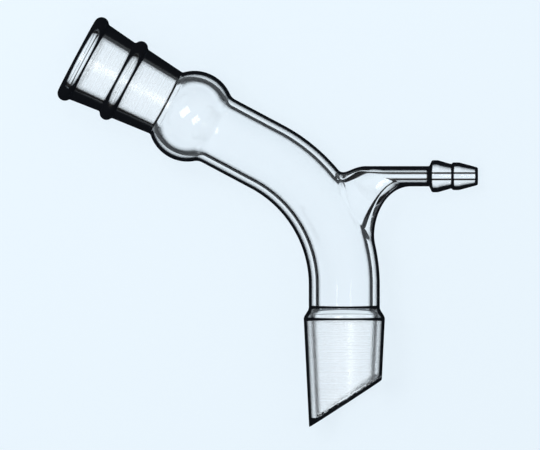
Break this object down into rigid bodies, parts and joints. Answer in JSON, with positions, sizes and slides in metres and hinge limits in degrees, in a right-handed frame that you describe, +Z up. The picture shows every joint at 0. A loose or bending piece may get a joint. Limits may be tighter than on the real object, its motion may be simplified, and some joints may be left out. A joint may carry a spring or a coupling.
{
  "type": "vacuum take-off adapter",
  "caption": "Bent glass distillation take-off adapter with a ground socket, a blown bulb, a vacuum side arm with a serrated hose nozzle, and a ground cone with a slanted drip tip.",
  "frame": {"origin": "on the floor, under the middle of the box of the adapter as it lies on its side", "axes": "+Z up; +X close to the side arm's direction, from the tube to the nozzle's tip; +Y close to the cone's axis, from the drip tip up to the bend"},
  "size_m": [0.124, 0.121, 0.0303],
  "materials": {
    "glass": "clear borosilicate glass, fire polished, with both joints finely ground"
  },
  "bodies": {
    "root": {"adapter": "glass"}
  },
  "joints": []
}
